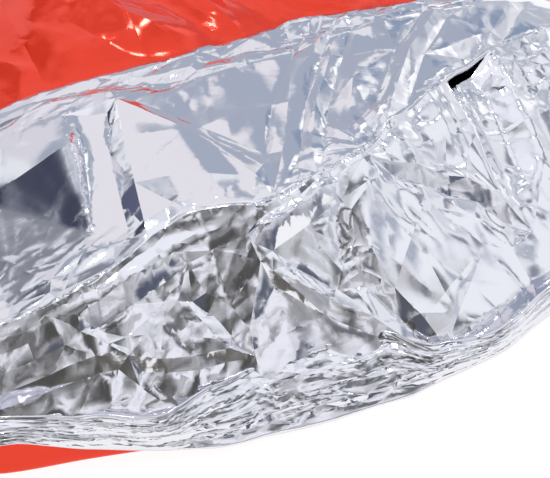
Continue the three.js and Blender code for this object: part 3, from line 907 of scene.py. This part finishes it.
def lower_film():
    film = Film()
    x = columns_across()
    lip, radius = (lip_y(x), lip_z(x)), lip_radius(x)
    hem_row = film.add(*band_place(x, 0 * x))
    band_top = film.add(*band_place(x, 0 * x + BAND_SPAN))
    flat_hem = np.stack([x, 0 * x], 1)
    border = border_between(flat_hem, flat_hem + (0, BAND_SPAN))
    lines = np.concatenate([BAND_FACETS.lines, BAND_DIMPLES.lines])
    film.fill(border, np.concatenate([hem_row, band_top[::-1]]), honeycomb(0, BAND_SPAN, BAND_STEP),
              lines, band_place)
    rows = [band_top]
    carried = band_relief(x, 0 * x + BAND_SPAN)
    for share in np.linspace(0, 1, LIP_ROWS)[1:-1]:
        angle = pi * (1 - share)
        y = lip[0] + radius * cos(angle) - carried * (1 - share)
        rows.append(film.add(x, y, lip[1] - radius + radius * sin(angle)))
    wall_top = film.add(*wall_place(x, 0 * x))
    film.weave(rows + [wall_top], flip=False)

    wall_foot = film.add(*wall_place(x, 0 * x + WALL_SPAN))
    border = border_between(flat_hem, flat_hem + (0, WALL_SPAN))
    film.fill(border, np.concatenate([wall_top, wall_foot[::-1]]), honeycomb(0, WALL_SPAN, WALL_STEP),
              WALL_FACETS.lines, wall_place)
    bend, foot = floor_bend(x), lower_mouth("foot_y", x)
    rows = [wall_foot]
    for share in np.linspace(0, 1, BEND_ROWS)[1:]:
        angle = pi * (1 + share / 2)
        y, z = foot + bend + bend * cos(angle), FLOOR_Z + bend + bend * sin(angle)
        rows.append(film.add(x, y, z))
    film.weave(rows, flip=False)

    end = np.full_like(x, FOOT_SEAL_Y + SEAL_WIDTH)
    end_row = film.add(x, end, FLOOR_Z)
    border = border_between(np.stack([x, foot + bend], 1), np.stack([x, end], 1))
    middle = HOLLOW_FACETS.lines.mean(1)
    hollow_lines = HOLLOW_FACETS.lines[at_hollow(middle[:, 0], middle[:, 1]) > 0]
    lines = np.concatenate([FLOOR_FOLDS.lines, LEFT_FACETS.lines, RIGHT_FACETS.lines,
                            FLOOR_DIMPLES.lines, hollow_lines])
    lines = lines[shown(lines.reshape(-1, 2)).reshape(-1, 2).all(1)]
    crest = np.stack([x, ridge_y(x) - CREST_LEAD], 1)
    for run in (crest, crest + (0, TUCK_LENGTH)):
        lines = np.concatenate([lines, np.stack([run[:-1], run[1:]], 1)])
    fine = honeycomb(FLOOR_START, MOUTH_END[1], MOUTH_FLOOR_STEP)
    coarse = honeycomb(FLOOR_START, MOUTH_END[1], HIDDEN_FLOOR_STEP)
    spots = np.concatenate([fine[shown(fine)], coarse[~shown(coarse)],
                            honeycomb(FAR_FLOOR_START, FOOT_SEAL_Y, FAR_FLOOR_STEP)])
    film.fill(border, np.concatenate([rows[-1], end_row[::-1]]), spots, lines,
              lambda px, py: (px, py, floor_height(px, py)))
    return film


def unit(vectors):
    """Vectors brought to a length of 1, or left at 0."""
    return vectors / (np.linalg.norm(vectors, axis=1)[:, None] + 1e-12)


def shell(name, film, outside, inside):
    """A film's closed mesh: its silver face, its orange face behind that, and the cut edge."""
    places = np.concatenate(film.places)
    silver = np.concatenate(film.triangles)
    corners = places[silver]
    facing = np.cross(corners[:, 1] - corners[:, 0], corners[:, 2] - corners[:, 0])
    normals = np.zeros_like(places)
    for k in range(3):
        np.add.at(normals, silver[:, k], facing)
    normals = unit(normals)
    count = len(places)
    sides = np.concatenate([places + normals * FILM / 2, places - normals * FILM / 2])
    sides[:, 1] -= MIDDLE_Y

    ways = np.concatenate([silver[:, [0, 1]], silver[:, [1, 2]], silver[:, [2, 0]]])
    edges = np.sort(ways, 1)
    keys = edges[:, 0] * count + edges[:, 1]
    order = np.argsort(keys, kind="stable")
    _, starts, uses = np.unique(keys[order], return_index=True, return_counts=True)
    rim = ways[order[starts[uses == 1]]]
    a, b = rim[:, 0], rim[:, 1]
    border = np.concatenate([np.stack([b, a, a + count], 1),
                             np.stack([b, a + count, b + count], 1)])
    faces = np.concatenate([silver, silver[:, ::-1] + count, border])

    mesh = bpy.data.meshes.new(name)
    mesh.from_pydata((sides * MM).tolist(), [], faces.tolist())
    for material in (outside, inside):
        mesh.materials.append(material)
    slots = np.zeros(len(faces), np.int32)
    slots[: len(silver)] = 1
    mesh.polygons.foreach_set("material_index", slots)
    mesh.polygons.foreach_set("use_smooth", np.ones(len(faces), bool))

    facing = unit(facing)
    face_of = np.tile(np.arange(len(silver)), 3)[order]
    pairs = starts[uses == 2]
    turn = (facing[face_of[pairs]] * facing[face_of[pairs + 1]]).sum(1)
    hard = set(keys[order][pairs][turn < cos(radians(SHARP_CREASE))].tolist())
    creases = np.sort(np.concatenate(film.creases), 1)
    hard &= set((creases[:, 0] * count + creases[:, 1]).tolist())
    ends = np.empty(2 * len(mesh.edges), np.int32)
    mesh.edges.foreach_get("vertices", ends)
    ends = np.sort(ends.reshape(-1, 2).astype(np.int64), 1)
    same_side = (ends[:, 0] // count) == (ends[:, 1] // count)
    edge_keys = (ends[:, 0] % count) * count + ends[:, 1] % count
    sharp = same_side & np.isin(edge_keys, np.fromiter(hard, np.int64, len(hard)))
    mesh.edges.foreach_set("use_edge_sharp", sharp)
    mesh.update()
    piece = bpy.data.objects.new(name, mesh)
    bpy.context.collection.objects.link(piece)
    print(name, "triangles", len(faces), "hard creases", len(hard))
    return piece


def linear(colour):
    """An sRGB hex colour as linear red, green, blue and alpha."""
    parts = np.array([int(colour[i : i + 2], 16) for i in (1, 3, 5)]) / 255
    return (*np.where(parts <= 0.04045, parts / 12.92, ((parts + 0.055) / 1.055) ** 2.4), 1.0)


def add_node(tree, kind, inputs=(), **settings):
    """Adds a node with its settings. inputs maps a socket's name or number to a value or to another
    node's output socket."""
    node = tree.nodes.new(kind)
    for name, value in settings.items():
        setattr(node, name, value)
    for socket, value in dict(inputs).items():
        if isinstance(value, bpy.types.NodeSocket):
            tree.links.new(value, node.inputs[socket])
        else:
            node.inputs[socket].default_value = value
    return node


# Sizes of the film's surface patterns in millimetres. Both are finer on real film, and are drawn as
# coarse as they need to show.
STREAK_WIDTH = 9
STREAK_DEPTH = 0.6
STREAK_STRETCH = (0.45, 1.0, 1.0)
RIPPLE_WIDTH = 20
RIPPLE_DEPTH = 0.8


def new_material(name):
    material = bpy.data.materials.new(name)
    material.use_nodes = True
    material.node_tree.nodes.clear()
    return material, material.node_tree


def aluminised_film():
    """Vapour-aluminised polyethylene film: a bright mirror of a cool white metal, slightly hazed by
    the film under it and drawn into fine streaks where it was creased."""
    material, tree = new_material("aluminised_polyethylene_film")
    place = add_node(tree, "ShaderNodeTexCoord").outputs["Object"]
    streak_place = add_node(tree, "ShaderNodeMapping", {"Vector": place, "Scale": STREAK_STRETCH})
    streaks = add_node(tree, "ShaderNodeTexNoise", {"Vector": streak_place.outputs[0],
                                                    "Scale": 1 / (STREAK_WIDTH * MM), "Detail": 3.0})
    bump = add_node(tree, "ShaderNodeBump",
                    {"Height": streaks.outputs["Fac"], "Strength": 0.1, "Distance": STREAK_DEPTH * MM})
    shader = add_node(tree, "ShaderNodeBsdfPrincipled",
                      {"Base Color": linear("#e9e9ee"), "Metallic": 1.0, "Roughness": 0.08,
                       "Normal": bump.outputs[0]})
    add_node(tree, "ShaderNodeOutputMaterial", {"Surface": shader.outputs[0]})
    return material


def orange_film():
    """Pigmented polyethylene film over the metal: a saturated orange with a wet gloss. Over a quarter
    of the light is mirrored by the metal and comes back through the pigment."""
    material, tree = new_material("orange_polyethylene_film")
    place = add_node(tree, "ShaderNodeTexCoord").outputs["Object"]
    ripple = add_node(tree, "ShaderNodeTexNoise",
                      {"Vector": place, "Scale": 1 / (RIPPLE_WIDTH * MM), "Detail": 3.0})
    bump = add_node(tree, "ShaderNodeBump",
                    {"Height": ripple.outputs["Fac"], "Strength": 0.3, "Distance": RIPPLE_DEPTH * MM})
    shader = add_node(tree, "ShaderNodeBsdfPrincipled",
                      {"Base Color": linear("#ff380a"), "Metallic": 0.28, "Roughness": 0.1, "IOR": 1.51,
                       "Normal": bump.outputs[0]})
    add_node(tree, "ShaderNodeOutputMaterial", {"Surface": shader.outputs[0]})
    return material


def white_floor():
    """White paper: matt, and lit from within so that it stays a plain white."""
    material, tree = new_material("white_paper_floor")
    shader = add_node(tree, "ShaderNodeBsdfPrincipled",
                      {"Base Color": linear("#606060"), "Roughness": 0.9,
                       "Emission Color": linear("#ffffff"), "Emission Strength": 0.95})
    add_node(tree, "ShaderNodeOutputMaterial", {"Surface": shader.outputs[0]})
    return material


def place_of(x, y, z):
    """A place given from the middle of the mouth in millimetres, in the frame in metres."""
    return Vector((x, y - MIDDLE_Y, z)) * MM


def make_camera():
    turn, rise = radians(CAMERA_TURN), radians(CAMERA_RISE)
    view = Vector((sin(turn) * cos(rise), cos(turn) * cos(rise), -sin(rise)))
    data = bpy.data.cameras.new("camera")
    data.sensor_fit = "HORIZONTAL"
    data.sensor_width = SENSOR
    data.lens = SENSOR * CAMERA_DISTANCE / CAMERA_WIDTH
    data.clip_end = CAMERA_SIGHT
    camera = bpy.data.objects.new("camera", data)
    camera.location = place_of(*CAMERA_TARGET) - view * CAMERA_DISTANCE * MM
    camera.rotation_euler = view.to_track_quat("-Z", "Y").to_euler()
    bpy.context.collection.objects.link(camera)
    bpy.context.scene.camera = camera


# The room's lights and darks as seen from the bag: the bearing from straight along the bag and the
# height above the horizon, how far each is full and where it ends, all in degrees, then its colour
# and how bright it is. A later one covers those before it.
ROOM = (
    ("back_low", 20, 7, 8, 19, "#b4bac9", 1.0),
    ("low_glow", 27, 15, 1, 5, "#ffffff", 0.95),
    ("low_strip", 9, 6, 1, 4, "#ffffff", 0.95),
    ("low_gap", -30, 8, 4, 9, "#8288a8", 0.5),
    ("grey_screen", 25, 26, 7, 12, "#b1b9ca", 1.0),
    ("blue_bar", 38, 20, 2, 7, "#a9bbd6", 0.75),
    ("white_bar", 45, 30, 2, 8, "#ffffff", 1.3),
    ("side_bar", 62, 17, 2, 7, "#ffffff", 1.2),
    ("grey_bar", 78, 30, 2, 8, "#b4bccc", 0.6),
    ("left_grey", -16, 37, 3, 9, "#a4a8b2", 0.75),
    ("low_screen", -5, 19, 5, 10, "#f4f1f8", 0.88),
    ("high_screen", 9, 48, 6, 11, "#fbf8fd", 0.95),
    ("back_screen", 7, 33, 10, 13.5, "#fbf8fd", 0.95),
    ("back_gap", -34, 32, 3, 15, "#8288a8", 0.27),
    ("top_screen", 32, 78, 10, 24, "#f6f8ff", 1.08),
    ("right_screen", 95, 46, 8, 22, "#f8faff", 1.06),
    ("right_dark", 146, 24, 3, 9, "#8a92a8", 0.5),
    ("low_dark", 194, 21, 3, 9, "#888ea0", 0.45),
    ("camera_dark", 202, 40, 3, 16, "#8a8a88", 0.36),
    ("left_lamp", -40, 62, 2, 5, "#ffffff", 28.0),
    ("right_lamp", 62, 50, 1.2, 3.2, "#ffffff", 18.0),
    ("top_lamp", 5, 64, 1.2, 3.2, "#ffffff", 24.0),
)
PANELS = 2.4  # how finely the room is broken up into light and dark
CLOUDS = 0.75 * PANELS
SHELF_SQUASH = (1.0, 1.0, 5.0)  # flattens a pattern to level streaks
PANEL_EDGES = (0.37, 0.6)  # where each pattern of the room begins to be light and is light
CLOUD_EDGES = (0.36, 0.62)
SHELF_EDGES = (0.4, 0.6)
SHELF_DIM = (0.7, 0.7, 0.7, 1.0)
SHELF_BRIGHT = (1.3, 1.3, 1.34, 1.0)
SIDE_EDGES = (0.0, 0.35)  # from the left of the room to its right
HORIZON_EDGES = (0.02, 0.3)  # from the horizon up
FRONT_EDGES = (0.25, -0.45)  # from before the camera round to behind it
FLOOR_REACH = 6.0  # metres


def make_world():
    """A grey studio with soft screens, dim behind the camera."""
    world = bpy.data.worlds.new("studio")
    bpy.context.scene.world = world
    world.use_nodes = True
    tree = world.node_tree
    tree.nodes.clear()
    way = add_node(tree, "ShaderNodeTexCoord").outputs["Generated"]

    def toward(turn, rise):
        turn, rise = radians(turn), radians(rise)
        aim = (sin(turn) * cos(rise), cos(turn) * cos(rise), sin(rise))
        node = add_node(tree, "ShaderNodeVectorMath", {0: way, 1: aim}, operation="DOT_PRODUCT")
        return node.outputs["Value"]

    def blend(value, low, high, colour, other):
        share = add_node(tree, "ShaderNodeMapRange", {"Value": value, "From Min": low, "From Max": high},
                         interpolation_type="SMOOTHSTEP")
        inputs = {"Factor": share.outputs[0], 6: colour, 7: other}
        return add_node(tree, "ShaderNodeMix", inputs, data_type="RGBA").outputs[2]

    panels = add_node(tree, "ShaderNodeTexNoise",
                      {"Vector": way, "Scale": PANELS, "Detail": 2.5, "Distortion": 0.5}).outputs["Fac"]
    level = add_node(tree, "ShaderNodeMapping", {"Vector": way, "Scale": SHELF_SQUASH}).outputs[0]
    shelves = add_node(tree, "ShaderNodeTexNoise",
                       {"Vector": level, "Scale": PANELS, "Detail": 2.0}).outputs["Fac"]
    colour = blend(panels, *PANEL_EDGES, linear("#adb5c5"), linear("#f6f8fc"))
    clouds = add_node(tree, "ShaderNodeTexNoise",
                      {"Vector": way, "Scale": CLOUDS, "Detail": 1.0, "Distortion": 0.4}).outputs["Fac"]
    front = blend(clouds, *CLOUD_EDGES, linear("#5c5b58"), linear("#e2e3e6"))
    streaks = blend(shelves, *SHELF_EDGES, SHELF_DIM, SHELF_BRIGHT)
    front = add_node(tree, "ShaderNodeMix", {"Factor": 1.0, 6: front, 7: streaks}, data_type="RGBA",
                     blend_type="MULTIPLY").outputs[2]
    low_front = blend(toward(90, 0), *SIDE_EDGES, linear("#68655e"), linear("#585e72"))
    front = blend(toward(0, 90), *HORIZON_EDGES, low_front, front)
    colour = blend(toward(CAMERA_TURN, 0), *FRONT_EDGES, colour, front)
    for _, turn, rise, full, end, tint, radiance in ROOM:
        lit = tuple(radiance * part for part in linear(tint)[:3]) + (1.0,)
        colour = blend(toward(turn, rise), cos(radians(end)), cos(radians(full)), colour, lit)
    light = add_node(tree, "ShaderNodeBackground", {"Color": colour, "Strength": 1.0})
    add_node(tree, "ShaderNodeOutputWorld", {"Surface": light.outputs[0]})


def make_floor():
    mesh = bpy.data.meshes.new("floor")
    signs = ((-1, -1), (1, -1), (1, 1), (-1, 1))
    mesh.from_pydata([(FLOOR_REACH * x, FLOOR_REACH * y, 0) for x, y in signs], [], [(0, 1, 2, 3)])
    mesh.materials.append(white_floor())
    floor = bpy.data.objects.new("floor", mesh)
    bpy.context.collection.objects.link(floor)


make_camera()
make_world()
make_floor()

outside, inside = orange_film(), aluminised_film()
lower = shell("lower_film", lower_film(), outside, inside)
upper = shell("upper_film", upper_film(), outside, inside)
for piece, node, slot in ((lower, "lower_panel", "silver_film"), (upper, "upper_panel", "orange_film")):
    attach(piece, "root")
    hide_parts(node)

bpy.context.scene.view_settings.view_transform = "Standard"
